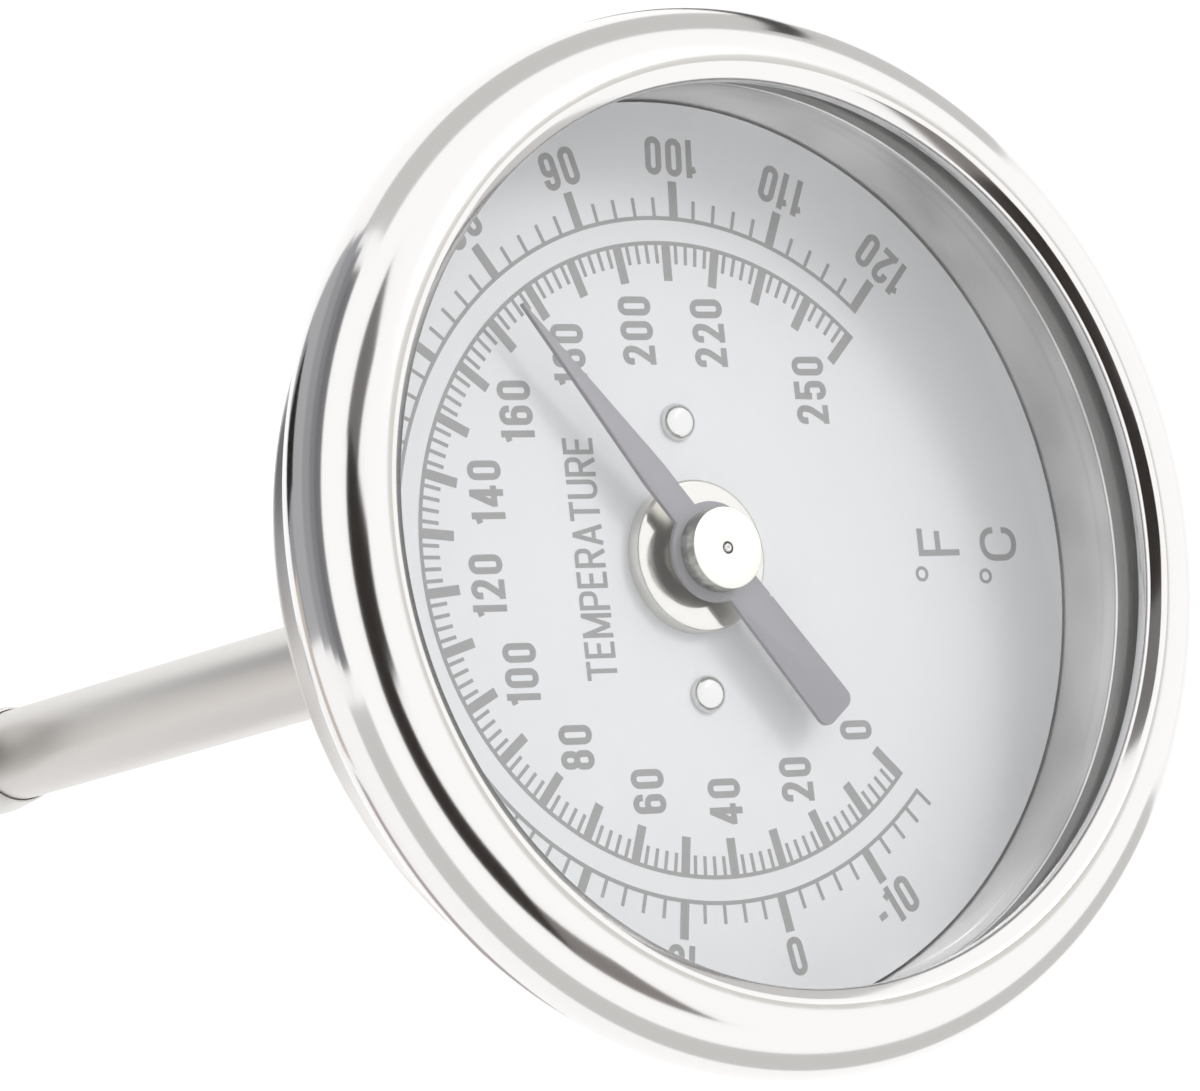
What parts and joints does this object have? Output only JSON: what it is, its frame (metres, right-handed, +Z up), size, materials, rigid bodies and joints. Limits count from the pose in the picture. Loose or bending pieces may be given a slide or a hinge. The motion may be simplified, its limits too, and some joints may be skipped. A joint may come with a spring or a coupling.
{
  "type": "dial thermometer",
  "caption": "Round steel dial thermometer with a rolled bezel, a flat window, a pointer over two printed arcs, a long thin rear stem and a sliding clip.",
  "frame": {"origin": "middle of the stem's tip, on the stem's axis", "axes": "+Z up the stem to the dial and towards the reader, +Y to the dial's 12 o'clock, +X to its 3 o'clock"},
  "size_m": [0.065, 0.065, 0.1637],
  "materials": {
    "polished_steel": "polished stainless",
    "satin_steel": "fine satin stainless",
    "case_steel": "bright drawn stainless",
    "clear_glass": "clear flat glass",
    "gasket_rubber": "matt grey rubber",
    "dial_white": "satin white enamel",
    "print_grey": "printed grey ink",
    "pointer_grey": "satin grey lacquer",
    "boss_steel": "polished turned steel",
    "hub_metal": "faced nickel, with fine turning marks",
    "screw_steel": "bright domed head",
    "spring_steel": "bright spring strip",
    "bimetal": "bimetal strip",
    "bush_plastic": "natural fluoropolymer"
  },
  "bodies": {
    "root": {"case_cup": "case_steel", "bezel_ring": "polished_steel", "lens_gasket": "gasket_rubber", "lens_glass": "clear_glass", "dial_plate": "dial_white", "dial_bracket": "satin_steel", "dial_screws": "screw_steel", "boss_bush": "boss_steel", "hex_collar": "satin_steel", "stem_tube": "satin_steel", "tip_plug": "satin_steel", "coil_anchor": "satin_steel", "bimetal_coil": "bimetal", "guide_bush_upper": "bush_plastic", "guide_bush_middle": "bush_plastic", "guide_bush_lower": "bush_plastic"},
    "pointer": {"pointer_shaft": "satin_steel", "pointer_needle": "pointer_grey", "pointer_hub": "hub_metal", "coil_collet": "satin_steel"},
    "clip": {"clip_sleeve": "spring_steel", "clip_leaf": "spring_steel"}
  },
  "joints": [
    {"name": "pointer_turn", "type": "hinge", "parent": "root", "child": "pointer", "pos_m": [0, 0, 0.15], "axis": [0, 0, 1], "range_deg": [-83.4, 186.6], "stiffness_Nm_per_rad": 0.0001, "deforming": ["bimetal_coil"]},
    {"name": "clip_slide", "type": "slide", "parent": "root", "child": "clip", "axis": [0, 0, 1], "range_m": [-0.04, 0.065]}
  ]
}
